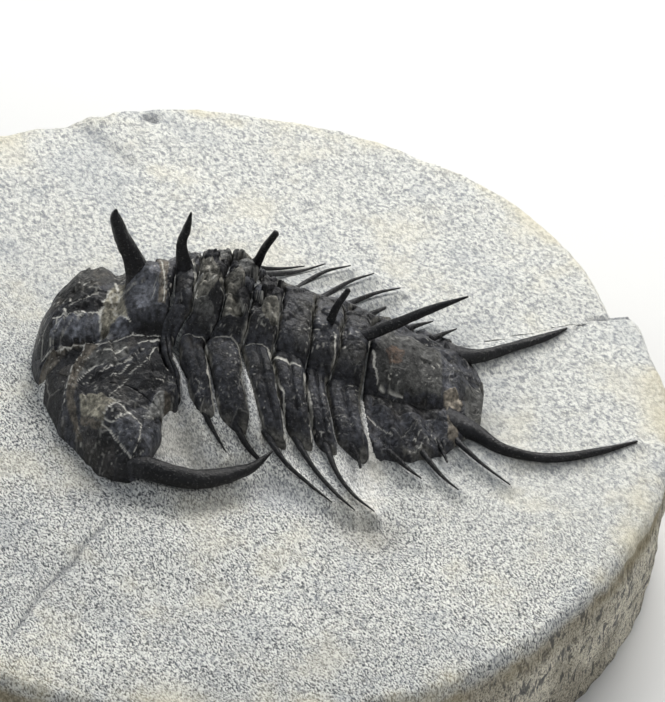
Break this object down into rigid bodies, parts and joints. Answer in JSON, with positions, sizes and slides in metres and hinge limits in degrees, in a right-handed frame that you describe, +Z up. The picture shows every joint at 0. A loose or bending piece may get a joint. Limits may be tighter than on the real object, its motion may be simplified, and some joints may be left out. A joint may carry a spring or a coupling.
{
  "type": "fossil trilobite",
  "caption": "Spiny Dorypyge trilobite with free-standing spines, prepared on a round block of pale limestone that rests flat on its sawn underside.",
  "frame": {"origin": "middle of the flat underside of the block, at the bottom of the bounding box", "axes": "+X along the animal from head to tail, +Y to the animal's right, +Z up"},
  "size_m": [0.0832, 0.0832, 0.0324],
  "materials": {
    "limestone": "pecked matt limestone",
    "fossil_shell": "black calcite shell, half gloss, with white veins"
  },
  "bodies": {
    "root": {"matrix": "limestone", "cranidium": "fossil_shell", "left_free_cheek": "fossil_shell", "right_free_cheek": "fossil_shell", "thoracic_segment_1": "fossil_shell", "thoracic_segment_2": "fossil_shell", "thoracic_segment_3": "fossil_shell", "thoracic_segment_4": "fossil_shell", "thoracic_segment_5": "fossil_shell", "thoracic_segment_6": "fossil_shell", "thoracic_segment_7": "fossil_shell", "pygidium": "fossil_shell"}
  },
  "joints": []
}
